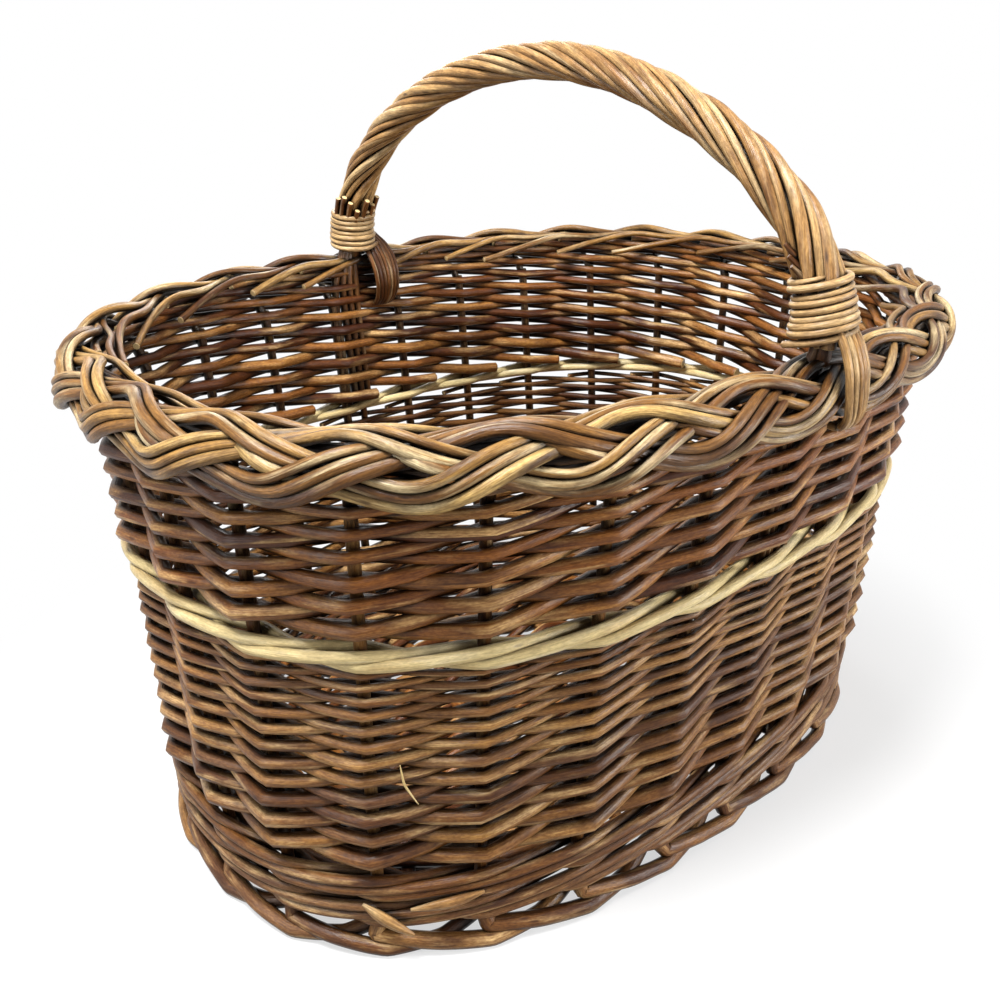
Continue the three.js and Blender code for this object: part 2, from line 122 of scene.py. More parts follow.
def willow(name, spec):
    # the rod's own tone picks its bark, patches and fine streaks run along it, small scars dot it
    # and the cut ends are bare wood; the colour is the bark times each grain layer and times a painted
    # shade, which darkens it where little of the near surroundings is open, in the hollows between rods
    material = bpy.data.materials.new(name)
    material.use_nodes = True
    tree = material.node_tree
    add = nodeAdder(tree)
    uv = add("ShaderNodeUVMap", uv_map="rodUv").outputs["UV"]
    place = add("ShaderNodeTexCoord").outputs["Object"]

    def ramp(source, stops):
        node = add("ShaderNodeValToRGB", {"Fac": source})
        elements = node.color_ramp.elements
        while len(elements) < len(stops):
            elements.new(0.5)
        for element, (at, colour) in zip(elements, stops):
            element.position, element.color = at, colour
        return node.outputs["Color"]

    def grey(kind, first, last):
        one = layers[kind]
        return [(one["low"], (first, first, first, 1)), (one["high"], (last, last, last, 1))]

    def warm(low, high, dark):
        # old bark darkens to brown and not to grey, and the painted shade in the hollows is tinted brown the
        # same way
        tint = np.array(grainSpec["warmth"]) * spec["warmth"]
        return [(low, (*(dark * (1 + tint)), 1)), (high, (1, 1, 1, 1))]

    def mix(kind, share, a, b):
        inputs = {"Factor": share, "A": a, "B": b}
        return add("ShaderNodeMix", inputs, data_type="RGBA", blend_type=kind).outputs["Result"]

    def alongRod(kind):
        scale = (*layers[kind]["grain"], 1)
        return add("ShaderNodeMapping", {"Vector": uv, "Scale": scale}).outputs["Vector"]

    def noise(kind):
        one = layers[kind]
        at = alongRod(kind) if "grain" in one else place
        inputs = {"Vector": at, "Scale": one["scale"], "Detail": one["detail"]}
        return add("ShaderNodeTexNoise", inputs).outputs["Fac"]

    tone = add("ShaderNodeAttribute", attribute_name="tone").outputs["Fac"]
    cut = add("ShaderNodeAttribute", attribute_name="cut").outputs["Fac"]
    barks = spec["barks"]
    colour = ramp(tone, [(i / (len(barks) - 1), linear(bark)) for i, bark in enumerate(barks)])
    for kind, most, other in (("patches", "patchShare", "patch"), ("light", "paleShare", "pale")):
        share = ramp(noise(kind), grey(kind, 0.0, spec[most]))
        colour = mix("MIX", share, colour, linear(spec[other]))
    grains = {kind: noise(kind) for kind in ("wide", "mottle", "streaks", "fine")}
    for kind, grain in grains.items():
        one = layers[kind]
        colour = mix("MULTIPLY", spec[kind], colour, ramp(grain, warm(one["low"], one["high"], one["dark"])))
    scarInputs = {"Vector": alongRod("scars"), "Scale": layers["scars"]["scale"]}
    spots = add("ShaderNodeTexVoronoi", scarInputs).outputs["Distance"]
    chosen = ramp(noise("scarred"), grey("scarred", 1.0, 0.0))
    marks = mix("LIGHTEN", 1.0, ramp(spots, grey("scars", 0.0, 1.0)), chosen)
    colour = mix("MULTIPLY", spec["scars"], colour, ramp(marks, warm(0.0, 1.0, grainSpec["scarDark"])))
    colour = mix("MIX", cut, colour, linear(spec["wood"]))
    # painted shade: the colour is darkened, brownish, where ambient occlusion finds other surfaces near, in
    # the hollows between rods and under the border; it stands in for the shade there
    hollow = add("ShaderNodeAmbientOcclusion", {"Distance": spec["paintedShadeReach"]},
                 samples=grainSpec["paintedShadeSamples"], only_local=False)
    paintedShade = ramp(hollow.outputs["AO"], warm(spec["paintedShadeDeep"], grainSpec["paintedShadeFree"], grainSpec["paintedShadeDark"]))
    fineShare, markShare = grainSpec["reliefShares"]
    relief = mix("MULTIPLY", fineShare, grains["streaks"], grains["fine"])
    relief = mix("MULTIPLY", markShare, relief, marks)
    bump = add("ShaderNodeBump", {"Strength": spec["relief"], "Distance": grainSpec["reliefHeight"],
                                  "Height": relief})
    shader = tree.nodes["Principled BSDF"]
    shader.inputs["Roughness"].default_value = spec["roughness"]
    shader.inputs["Specular IOR Level"].default_value = spec["specular"]
    tree.links.new(mix("MULTIPLY", spec["paintedShade"], colour, paintedShade), shader.inputs["Base Color"])
    tree.links.new(bump.outputs["Normal"], shader.inputs["Normal"])
    return material


# each finish sets the reach, the depth and the share of its painted shade, the darkening painted into the
# hollows between rods where shade falls
commonWillow = {
    "roughness": 0.36, "specular": 0.28, "patchShare": 0.85, "paleShare": 0.6, "wide": 0.45, "mottle": 0.6,
    "streaks": 0.6, "fine": 0.55, "scars": 0.9, "relief": 0.85, "wood": (232, 202, 146),
    "paintedShadeReach": 0.016, "paintedShadeDeep": 0.30, "paintedShade": 0.95, "warmth": 0.8,
}
# bark and plait reach furthest with their painted shade, which darkens the wall under the border's overhang
# and the crevices of the border
finishes = {
    "bark": {
        "barks": [(98, 56, 22), (136, 84, 36), (172, 118, 56), (138, 90, 46), (194, 144, 76), (158, 102, 46)],
        "patch": (72, 38, 22), "pale": (252, 216, 150), "paleShare": 0.95, "paintedShadeReach": 0.024,
        "paintedShadeDeep": 0.34,
    },
    "weathered": {
        "barks": [(102, 64, 30), (146, 102, 52), (180, 134, 76), (136, 98, 62), (198, 154, 92),
                  (162, 118, 60)],
        "patch": (80, 48, 30), "pale": (252, 220, 160), "paleShare": 0.9,
    },
    "plait": {
        "barks": [(100, 62, 26), (160, 116, 58), (200, 160, 92), (136, 92, 44), (222, 188, 120),
                  (176, 132, 70)],
        "patch": (78, 44, 24), "pale": (250, 232, 184), "patchShare": 0.9, "paleShare": 0.85, "fine": 0.4,
        "paintedShadeReach": 0.03, "paintedShadeDeep": 0.40, "paintedShade": 1.0, "warmth": 0.4,
    },
    "buff": {
        "barks": [(88, 52, 25), (146, 97, 49), (202, 160, 101), (214, 176, 118), (192, 147, 89),
                  (230, 197, 142)],
        "patch": (134, 84, 42), "pale": (242, 219, 170), "patchShare": 0.7, "wide": 0.3, "fine": 0.4,
        "warmth": 0.35,
    },
    "peeled": {
        "barks": [(232, 206, 142), (248, 232, 178), (240, 218, 158), (250, 236, 188), (228, 200, 132)],
        "patch": (200, 158, 92), "pale": (252, 242, 204), "patchShare": 0.5, "wide": 0.1, "mottle": 0.35,
        "streaks": 0.3, "fine": 0.25, "scars": 0.6, "paintedShadeReach": 0.008, "paintedShade": 0.7, "warmth": 0.4,
    },
}
willows = {slot: willow("willow_" + slot, commonWillow | spec) for slot, spec in finishes.items()}
print("materials made:", len(willows))

# Rods: a rod is a path with a direction for its back and a radius at each point

grainLength = 9  # metres of grain, from which each rod takes its own stretch


def rod(path, back, radius, tone=None, cutEnd=True, closed=False, spread=1.0):
    # one radius or back direction holds for the whole path; the tone picks the bark, spread makes
    # the rod that much wider than it is thick, and shift moves the grain, so that no two look alike
    radius = np.broadcast_to(np.asarray(radius, float), (len(path),))
    tone = rng.random() if tone is None else tone
    return {"path": path, "back": np.broadcast_to(np.asarray(back, float), path.shape), "radius": radius,
            "tone": tone, "cutEnd": cutEnd, "closed": closed, "spread": spread,
            "shift": rng.random() * grainLength}


def toneBetween(low, high):
    # low plus a random share of the way to high
    return low + (high - low) * rng.random()


def unit(vectors):
    # each vector divided by its own length
    return vectors / np.maximum(np.linalg.norm(vectors, axis=-1, keepdims=True), 1e-9)


def uneven(count, amount, every):
    # a slow random change of a rod's thickness: random values every so many points, joined up
    knots = rng.normal(0, 1, max(count // every, 2) + 2)
    return 1 + amount * np.interp(np.linspace(0, len(knots) - 1, count), np.arange(len(knots)), knots)


capSpec = {"bulge": 0.12, "width": 0.86}


def sweep(one, sides):
    # each point's ring is out times cosine plus across times sine, times the radius; a cut end
    # stands a little proud and is a little narrower, which rounds its edge
    path, radius, closed = one["path"], one["radius"], one["closed"]
    if closed:
        along = unit(np.roll(path, -1, 0) - np.roll(path, 1, 0))
    else:
        along = unit(np.gradient(path, axis=0))
    across = unit(np.cross(along, one["back"]))
    out = np.cross(across, along)
    turn = np.arange(sides) / sides * 2 * np.pi
    ring = out[:, None] * np.cos(turn)[:, None] + across[:, None] * np.sin(turn)[:, None] * one["spread"]
    rings = path[:, None] + ring * radius[:, None, None]
    cuts = np.zeros(len(path))
    run = np.concatenate([[0], np.cumsum(np.linalg.norm(np.diff(path, axis=0), axis=1))])
    if not closed:
        bulge, width = capSpec["bulge"], capSpec["width"]
        first = path[0] - along[0] * radius[0] * bulge + ring[0] * radius[0] * width
        last = path[-1] + along[-1] * radius[-1] * bulge + ring[-1] * radius[-1] * width
        rings = np.concatenate([first[None], rings, last[None]])
        cuts = np.concatenate([[1.0], cuts, [float(one["cutEnd"])]])
        run = np.concatenate([[0], run, [run[-1]]])
    count = len(rings)
    here = np.arange(count if closed else count - 1)[:, None] * sides
    ahead = (here + sides) % (count * sides)
    k = np.arange(sides)[None]
    beside = (k + 1) % sides
    quads = np.stack([here + k, here + beside, ahead + beside, ahead + k], -1).reshape(-1, 4)
    around = 2 * np.pi * radius.mean() * millimetre / sides
    u0 = np.broadcast_to((run[:len(here)] * millimetre + one["shift"])[:, None], (len(here), sides))
    grown = np.append(run, run[-1])[1:len(here) + 1] * millimetre + one["shift"]
    u1 = np.broadcast_to(grown[:, None], (len(here), sides))
    v0 = np.broadcast_to(k * around, u0.shape)
    v1 = v0 + around
    uvs = np.stack([u0, v0, u0, v1, u1, v1, u1, v0], -1).reshape(-1, 2)
    caps = [] if closed else [np.arange(sides)[::-1], np.arange(sides) + (count - 1) * sides]
    return {"points": rings.reshape(-1, 3), "quads": quads, "uvs": uvs, "caps": caps,
            "cut": np.repeat(cuts, sides), "tone": np.full(count * sides, one["tone"])}


def buildPiece(name, rods, sides, slot, replaced):
    # all rods of a piece in one mesh, quads along the rods and a polygon on each cut end
    parts = [sweep(one, sides) for one in rods]
    starts = np.concatenate([[0], np.cumsum([len(part["points"]) for part in parts])])
    quads = np.concatenate([part["quads"] + start for part, start in zip(parts, starts)])
    caps = [cap + start for part, start in zip(parts, starts) for cap in part["caps"]]
    mesh = bpy.data.meshes.new(name)
    points = np.concatenate([part["points"] for part in parts]) * millimetre
    mesh.from_pydata(points.tolist(), [], quads.tolist() + [cap.tolist() for cap in caps])
    uv = np.concatenate([part["uvs"] for part in parts] + [np.zeros((len(caps) * sides, 2))])
    mesh.uv_layers.new(name="rodUv").data.foreach_set("uv", uv.ravel())
    for key in ("tone", "cut"):
        values = np.concatenate([part[key] for part in parts])
        mesh.attributes.new(key, "FLOAT", "POINT").data.foreach_set("value", values)
    smooth = np.ones(len(mesh.polygons), bool)
    smooth[len(quads):] = False
    mesh.polygons.foreach_set("use_smooth", smooth)
    mesh.materials.append(willows[slot])
    mesh.update()
    piece = bpy.data.objects.new(name, mesh)
    bpy.context.collection.objects.link(piece)
    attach(piece, "root")
    if replaced:
        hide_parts(*replaced)
    print(name, len(rods), "rods", len(quads), "faces")


# The oval wall

wall = {"footHalfLength": 228.0, "footHalfWidth": 155.0, "rimHalfLength": 235.5, "rimHalfWidth": 180.0,
        "ovalPower": 2.45, "stakes": 25, "shift": 0.75, "top": 257.5, "stakeRadius": 3.1,
        "stationPoints": 12, "varyRadius": 0.025}


def ovalPoint(halfLength, halfWidth, angle):
    # a superellipse: cosine and sine to the power of two over the oval's own power
    c, s, share = np.cos(angle), np.sin(angle), 2 / wall["ovalPower"]
    return halfLength * np.sign(c) * np.abs(c) ** share, halfWidth * np.sign(s) * np.abs(s) ** share


rimSteps = 5760
rimAngles = np.linspace(0, 2 * np.pi, rimSteps + 1)
rimX, rimY = ovalPoint(wall["rimHalfLength"], wall["rimHalfWidth"], rimAngles)
rimRun = np.concatenate([[0], np.cumsum(np.hypot(np.diff(rimX), np.diff(rimY)))])
stakeSpacing = rimRun[-1] / wall["stakes"]


def wallPoint(place, height, outset):
    # place counts stakes by equal lengths of rim, height goes up, outset is square to the oval
    place, height, outset = np.broadcast_arrays(*[np.asarray(v, float) for v in (place, height, outset)])
    turn = (place + wall["shift"]) / wall["stakes"]
    angle = np.interp(turn - np.floor(turn), rimRun / rimRun[-1], rimAngles)
    share = height / wall["top"]
    halfLength = wall["footHalfLength"] + share * (wall["rimHalfLength"] - wall["footHalfLength"])
    halfWidth = wall["footHalfWidth"] + share * (wall["rimHalfWidth"] - wall["footHalfWidth"])
    x, y = ovalPoint(halfLength, halfWidth, angle)
    squarer = wall["ovalPower"] - 1
    outward = np.stack([np.sign(x) * np.abs(x / halfLength) ** squarer / halfLength,
                        np.sign(y) * np.abs(y / halfWidth) ** squarer / halfWidth, 0 * x], -1)
    outward = unit(outward)
    return np.stack([x, y, height], -1) + outward * outset[..., None], outward


def softened(values, width, closed=False):
    # a bell-weighted running mean rounds the corners; open ends are continued point-symmetrically
    if width < 1:
        return values
    half = max(int(width / 2), 1)
    kernel = np.hanning(2 * half + 3)[1:-1]
    kernel /= kernel.sum()
    if closed:
        padded = np.concatenate([values[-half:], values, values[:half]])
    else:
        padded = np.concatenate([2 * values[0] - values[half:0:-1], values,
                                 2 * values[-1] - values[-2:-half - 2:-1]])
    return np.convolve(padded, kernel, "valid")


def wallRod(places, heights, outsets, radii, soften=2, closedTurns=0):
    # straight between its stations of place, height and outset, with rounded corners; a closed rod
    # goes on from its last station to its first, so many rounds of the wall further on
    closed = closedTurns > 0
    stations = np.arange(len(places))
    fine = np.arange(0, len(places) - (0 if closed else 1) + 1e-9, 1 / wall["stationPoints"])
    if closed:
        fine = fine[:-1]
        stations = np.append(stations, len(places))
        heights, outsets = np.append(heights, heights[0]), np.append(outsets, outsets[0])
        places = np.append(places, places[0] + closedTurns * wall["stakes"])
    place = np.interp(fine, stations, places)
    height = softened(np.interp(fine, stations, heights), soften, closed)
    outset = softened(np.interp(fine, stations, outsets), soften, closed)
    if not closed:
        place = softened(place, soften)
    path, outward = wallPoint(place, height, outset)
    if np.ndim(radii):
        radius = np.interp(fine, np.arange(len(radii)), radii)
    else:
        radius = np.full(len(fine), radii)
    if not closed:
        radius = radius * uneven(len(fine), wall["varyRadius"], 6)
    return rod(path, outward, radius, closed=closed)


# Stakes and the open foot

footSpec = {
    "buttRadius": 4.15, "topRadius": 2.9, "kinkHeight": 11.0, "groundHeight": 4.2, "bend": 0.05,
    "varyKink": 0.7, "varyBend": 0.04, "varyTaper": 0.05, "varyButt": 0.04,
    "fillFrom": 15.9, "fillTo": 38.1, "fillStep": 0.5, "fillHeight": 13.4, "fillOutset": -4.2,
    "fillRadius": 2.7, "fillSoften": 18, "varyFillHeight": 0.9, "varyFillOutset": 0.5,
}


def footAndStake(index):
    # down the wall to a sharp kink, along to the ground below the next kink, then in behind the
    # rod after it; the stations give the place past the stake's own, the height and the outset
    spec = footSpec
    jitter = rng.normal(0, 1, 4)
    kink = spec["kinkHeight"] + spec["varyKink"] * jitter[0]
    bend = spec["bend"] + spec["varyBend"] * jitter[3]
    foot = [(2.3, 12, -7), (2.0, 10.5, -5.5), (1.62, 6, 3.5), (1.1, spec["groundHeight"], 9.0),
            (0.6, 7.0, 7.8), (bend, kink, 5.4), (0.02, 18.5, 2.6)]
    stake = [(0, height, 0) for height in (24, 60, 130, 200, wall["top"] + 1)]
    places, heights, outsets = np.array(foot + stake, float).T
    butt = spec["buttRadius"]
    slim = np.linspace(butt * (1 + spec["varyTaper"] * jitter[1]), spec["topRadius"], len(places))
    slim[:len(foot)] = butt * (1 + spec["varyButt"] * jitter[2])
    return wallRod(index + places, heights, outsets, slim)


def footFill():
    # one more rod lies round the inside of the foot, open at the near corner
    spec = footSpec
    places = np.arange(spec["fillFrom"], spec["fillTo"], spec["fillStep"])
    heights = spec["fillHeight"] + spec["varyFillHeight"] * rng.normal(size=len(places))
    outsets = spec["fillOutset"] + spec["varyFillOutset"] * rng.normal(size=len(places))
    return wallRod(places, heights, outsets, spec["fillRadius"], soften=spec["fillSoften"])


stakeNodes = [f"stake_{i + 1}" for i in range(wall["stakes"])]
footRods = [footAndStake(i) for i in range(wall["stakes"])] + [footFill()]
buildPiece("stakesAndFoot", footRods, 10, "weathered", stakeNodes)

# Siding: from each stake a rod climbs one row at every stake that it passes

# Butt and tip compare the heights of the first and the last row, plump is a rod's thickness over its
# row's height, and closing draws the last rows in towards the stakes
lowerSiding = {"bottom": 53.0, "top": 173.0, "rows": 24, "butt": 2.3, "tip": 1.0, "plump": 1.13}
upperSiding = {"bottom": 186.0, "top": 280.0, "rows": 18, "butt": 1.3, "tip": 0.8, "plump": 1.2,
               "closing": (0.9, 0.7, 0.45)}
sidingEnds = {"past": 0.42, "buttDrop": 0.3, "tipRise": 0.2, "buttOutset": 1.05, "tipOutset": -0.2}
sidingLoose = {"hug": 1.13, "radius": 0.05, "place": 0.03, "height": 0.35}


def sidingRods(spec):
    # row height shrinks from butt to tip, a row's height up the wall is the sum of those below it,
    # and the rod passes inside one stake and outside the next, by the stake's radius and its own
    share = np.linspace(0, 1, spec["rows"])
    pitch = spec["butt"] + (spec["tip"] - spec["butt"]) * share
    pitch *= (spec["top"] - spec["bottom"]) / pitch.sum()
    middle = spec["bottom"] + np.cumsum(pitch) - pitch / 2
    side = np.where(np.arange(spec["rows"]) % 2 == 0, -1.0, 1.0)
    ends, loose = sidingEnds, sidingLoose

    def withEnds(first, values, last):
        return np.concatenate([[first], values, [last]])

    rods = []
    for start in range(wall["stakes"]):
        radius = pitch / 2 * spec["plump"] * (1 + loose["radius"] * rng.normal())
        outset = side * (wall["stakeRadius"] + radius) * loose["hug"]
        if "closing" in spec:
            outset[-len(spec["closing"]):] *= spec["closing"]
        place = start + np.arange(spec["rows"]) + loose["place"] * rng.normal(size=spec["rows"])
        height = middle + loose["height"] * rng.normal(size=spec["rows"])
        butt, tip = height[0] - pitch[0] * ends["buttDrop"], height[-1] + pitch[-1] * ends["tipRise"]
        place = withEnds(place[0] - ends["past"], place, place[-1] + ends["past"])
        height = withEnds(butt, height, tip)
        outset = withEnds(outset[0] * ends["buttOutset"], outset, outset[-1] * ends["tipOutset"])
        radius = withEnds(radius[0], radius, radius[-1])
        rods.append(wallRod(place, height, outset, radius, soften=0))
    return rods


buildPiece("lowerSidingRods", sidingRods(lowerSiding), 8, "weathered", ["lower_siding"])
buildPiece("upperSidingRods", sidingRods(upperSiding), 8, "bark", ["upper_siding"])

# Wales: before some stakes, rising, then behind one

upsettWale = {"fronts": 3, "radius": 2.75, "heights": (25.6, 43.0)}
whiteWale = {"fronts": 2, "radius": 2.95, "heights": (179.4,)}
waleLay = {"lift": 2.05, "behind": 1.15, "before": 1.06, "varyHeight": 0.3}


def waleRods(spec):
    # one rod goes round as often as it has fronts and one more, a stake on each time: behind one
    # stake at the middle height, then before the others, rising by its own thickness
    period = spec["fronts"] + 1
    rods = []
    for middle in spec["heights"]:
        stations = np.arange(period * wall["stakes"])
        step = stations % period
        lift = np.where(step == 0, 0, step - 1 - (spec["fronts"] - 1) / 2)
        heights = middle + lift * waleLay["lift"] * spec["radius"]
        heights = heights + waleLay["varyHeight"] * rng.normal(size=len(stations))
        side = np.where(step == 0, -waleLay["behind"], waleLay["before"])
        outsets = side * (wall["stakeRadius"] + spec["radius"])
        rods.append(wallRod(stations.astype(float), heights, outsets, spec["radius"], closedTurns=period))
    return rods


buildPiece("upsettRods", waleRods(upsettWale), 8, "weathered", ["upsett_wale_1", "upsett_wale_2"])
buildPiece("whiteBandRods", waleRods(whiteWale), 8, "peeled", ["white_wale"])

# Plaited border: each stake joins a strand of three rods, then leaves it and is cut off inside

# The rods run at the reach round the middle of the rim and their angle there swings about the lean;
# the join and leave values say how a rod comes into its strand and how it turns down inside at last
borderSpec = {
    "middle": 268.0, "outset": 3.0, "reach": 16.6, "dive": 2.8, "swing": 51.0, "lean": 52.0,
    "stakeTurn": 120.0, "startPhase": 8.0, "varyPhase": 4, "lag": 0.05, "wave": 0.9,
    "start": 0.2, "step": 0.08, "joinFrom": 0.1, "joinOver": 0.55, "joinBeside": 0.5,
    "reachFirst": 0.55, "reachGrowth": 0.45, "strandEnd": 8.45, "leaveLength": 2.3,
    "leaveAngle": -80.0, "leaveReach": 1.5, "shortest": 0.78, "varyLength": 0.22, "rodRadius": 2.5,
    "taper": (1.14, 0.82), "varyRadius": 0.1, "unevenness": 0.04, "rodPitch": 4.8,
    "firstBeside": 1.48, "strands": 3, "softenStations": 5, "softenPath": 9,
    "stakeHeights": (240, 249, 257, 264), "stakeOutsets": (0, 0, 0, 1.5), "stakeLean": 0.03,
}


def borderRod(start):
    # phase turns a third of a round at each stake; the way across the border is nearly a triangle
    # wave, the cosine plus a ninth of the cosine of three times the phase, a little longer outwards
    # than back; the dive under the other strands is the sine of twice the phase, the place in the
    # strand moves over by a rod in three stakes, and at last the rod runs down inside the rim
    spec = borderSpec
    end = spec["strandEnd"] + spec["leaveLength"] * (spec["shortest"] + spec["varyLength"] * rng.random())
    t = np.arange(spec["start"], end, spec["step"])
    turned = np.radians(spec["stakeTurn"] * t + spec["startPhase"] + spec["varyPhase"] * rng.normal())
    phase = turned - spec["lag"] * (1 - np.cos(turned))
    across = spec["wave"] * (np.cos(phase) + np.cos(3 * phase) / 9)
    left = np.clip((t - spec["strandEnd"]) / spec["leaveLength"], 0, 1)
    left = left * left * (3 - 2 * left)
    angle = (spec["lean"] - spec["swing"] * across) * (1 - left) + spec["leaveAngle"] * left
    angle = np.radians(angle)
    reach = spec["reach"] + spec["dive"] * np.sin(2 * phase) * (1 - left) - spec["leaveReach"] * left
    joined = np.clip((t - spec["joinFrom"]) / spec["joinOver"], 0, 1)
    reach = reach * (spec["reachFirst"] + spec["reachGrowth"] * joined)
    alongRim, roundRim = t * stakeSpacing, spec["reach"] * angle
    ahead = unit(np.stack([np.gradient(alongRim), np.gradient(roundRim)], -1))
    beside = (spec["firstBeside"] - t / spec["strands"]) * spec["rodPitch"]
    beside = beside * np.clip((t - spec["joinFrom"]) / spec["joinBeside"], 0, 1) * (1 - left)
    alongRim = alongRim - ahead[:, 1] * beside
    roundRim = roundRim + ahead[:, 0] * beside
    angle = roundRim / spec["reach"]
    stakePlaces = [start, start, start, start + spec["stakeLean"]]
    places = np.concatenate([stakePlaces, start + alongRim / stakeSpacing])
    heights = np.concatenate([spec["stakeHeights"], spec["middle"] + reach * np.cos(angle)])
    outsets = np.concatenate([spec["stakeOutsets"], spec["outset"] + reach * np.sin(angle)])
    fine = np.linspace(0, len(places) - 1, (len(places) - 1) * 2 + 1)
    index = np.arange(len(places))
    stations = [np.interp(fine, index, row) for row in (places, heights, outsets)]
    place, height, outset = [softened(row, spec["softenStations"]) for row in stations]
    path, _ = wallPoint(place, height, outset)
    path = np.stack([softened(row, spec["softenPath"]) for row in path.T], -1)
    centre, _ = wallPoint(place, spec["middle"], spec["outset"])
    radius = spec["rodRadius"] * np.linspace(*spec["taper"], len(fine))
    radius = radius * uneven(len(fine), spec["unevenness"], 8) * (1 + spec["varyRadius"] * rng.normal())
    return rod(path, path - centre, radius)


buildPiece("borderPlait", [borderRod(i) for i in range(wall["stakes"])], 10, "plait", ["border_plait"])

# Handle: a bow, the rods roped round it, its legs and the bindings

arch = {"halfSpan": 184.6, "swell": 8.8, "middle": -2.6, "rise": 103.0, "foot": 297.9,
        "leanFoot": 5.5, "leanTop": 3.4, "leanAll": 1.0, "steps": 2880, "smallTurn": 0.01}
archAngles = np.linspace(0, np.pi, arch["steps"] + 1)


def archShape(angle):
    # half an ellipse, fuller at the crown by the sine to the fourth power, leaning a little
    # sideways as the bent rod does
    full = arch["swell"] * np.sin(angle) ** 4
    return np.stack([arch["leanAll"] + arch["leanFoot"] * np.cos(angle) + arch["leanTop"] * np.sin(angle),
                     arch["middle"] - (arch["halfSpan"] + full) * np.cos(angle),
                     arch["foot"] + (arch["rise"] + full) * np.sin(angle)], -1)


archRun = np.concatenate([[0], np.cumsum(np.linalg.norm(np.diff(archShape(archAngles), axis=0), axis=1))])
archLength = archRun[-1]


def archPoint(length):
    # the arch by length from the front foot, straight down beyond its ends
    inside = np.clip(length, 0, archLength)
    angle = np.interp(inside, archRun, archAngles)
    below = np.abs(length - inside)
    centre = archShape(angle)
    centre[:, 2] -= below
    along = archShape(angle + arch["smallTurn"]) - archShape(angle - arch["smallTurn"])
    away = unit(np.cross(np.array([1.0, 0, 0]), along))
    return centre, away


def roundArch(length, distance, turn):
    # beside the arch: away from it at turn 0, towards +X a quarter turn on
    centre, away = archPoint(length)
    sideways = np.array([1.0, 0, 0])
    outward = away * np.cos(turn)[:, None] + sideways * np.sin(turn)[:, None]
    return centre + outward * np.asarray(distance)[..., None], outward


ropeSpec = {"rods": 10, "solidRods": 8, "topRing": 7.05, "footRing": 9.0, "tip": 1.75, "butt": 3.2,
            "turns": 2.45, "ease": 0.1, "slowest": 0.12, "past": 4, "points": 320, "varyTurn": 0.1,
            "varyRing": 0.02, "varyRadius": 0.06, "unevenness": 0.03, "tones": (0.3, 1.0)}


def ropeRod(index):
    # the twist starts and ends slowly: its rate rises over the first tenth and falls over the last;
    # the rods lie further from the bow towards its feet, by the square of the way from the top, and
    # every other rod has its thick end at the other foot
    spec = ropeSpec
    length = np.linspace(-spec["past"], archLength + spec["past"], spec["points"])
    rate = np.minimum(length, archLength - length) / (spec["ease"] * archLength)
    rate = np.clip(rate, spec["slowest"], 1)
    twist = np.cumsum(rate) / rate.sum() * spec["turns"]
    turn = 2 * np.pi * (twist + (index + spec["varyTurn"] * rng.normal()) / spec["rods"])
    nearFoot = np.abs(2 * length / archLength - 1) ** 2
    distance = spec["topRing"] + (spec["footRing"] - spec["topRing"]) * nearFoot
    distance = distance * uneven(len(length), spec["varyRing"], 24)
    path, outward = roundArch(length, distance, turn)
    ends = (spec["butt"], spec["tip"]) if index % 2 else (spec["tip"], spec["butt"])
    radius = np.linspace(*ends, len(length)) * (1 + spec["varyRadius"] * rng.normal())
    radius = radius * uneven(len(length), spec["unevenness"], 10)
    return rod(path, outward, radius, tone=toneBetween(*spec["tones"]))


ropeNodes = [f"handle_rope_rod_{i + 1}" for i in range(ropeSpec["solidRods"])]
buildPiece("handleRope", [ropeRod(i) for i in range(ropeSpec["rods"])], 12, "buff", ropeNodes)

# Gather is the share of its sideways distance that a rod keeps inside the rope, ropeRises are its
# heights there over the arch's foot, and rimHeights those where it lies against the inner rim
legSpec = {"bowPast": 14, "bowPoints": 90, "bowRadius": 5.2, "bowTone": 0.2,
           "frontX": (-3.0, 3.0, 9.0, 15.0), "rearX": (-24.0, -18.0, -12.5, -7.0), "gather": 0.4,
           "ropeRises": (6, -8), "rimHeights": (268, 250), "rimInset": 1, "bottom": 160.0,
           "varyBottom": 25, "rodRadius": 2.6, "unevenness": 0.04, "tones": (0.12, 0.24), "step": 4,
           "soften": 20}


def pathThrough(points, step, soften):
    # evenly spaced points on the straight runs between the given ones, corners rounded
    points = np.asarray(points, float)
    run = np.concatenate([[0], np.cumsum(np.linalg.norm(np.diff(points, axis=0), axis=1))])
    at = np.linspace(0, run[-1], max(int(run[-1] / step), 6))
    return np.stack([softened(np.interp(at, run, points[:, k]), soften / step) for k in range(3)], -1)


def bowRods():
    # the bow under the rope, and the rods pushed down into the weave below each of its feet: they
    # are gathered in the rope, spread out to the inside of the rim and run down the tapering wall
    spec = legSpec
    sideways = (1.0, 0, 0)
    length = np.linspace(-spec["bowPast"], archLength + spec["bowPast"], spec["bowPoints"])
    centre, _ = archPoint(length)
    rods = [rod(centre, sideways, spec["bowRadius"], tone=spec["bowTone"])]
    rim, low = wall["rimHalfWidth"], wall["footHalfWidth"]
    for side, places in ((-1, spec["frontX"]), (1, spec["rearX"])):
        foot = archShape(np.array([0.0 if side < 0 else np.pi]))[0]
        for x in places:
            bottom = spec["bottom"] + spec["varyBottom"] * rng.random()
            start = foot[0] + spec["gather"] * (x - foot[0])
            points = [(start, foot[1], foot[2] + rise) for rise in spec["ropeRises"]]
            points += [(x, side * (rim - spec["rimInset"]), height) for height in spec["rimHeights"]]
            points += [(x, side * (low + (rim - low) * bottom / wall["top"]), bottom)]
            path = pathThrough(points, spec["step"], spec["soften"])
            radius = spec["rodRadius"] * uneven(len(path), spec["unevenness"], 8)
            rods.append(rod(path, sideways, radius, tone=toneBetween(*spec["tones"])))
    return rods


buildPiece("handleBowAndLegs", bowRods(), 10, "buff", ["handle_bow"])

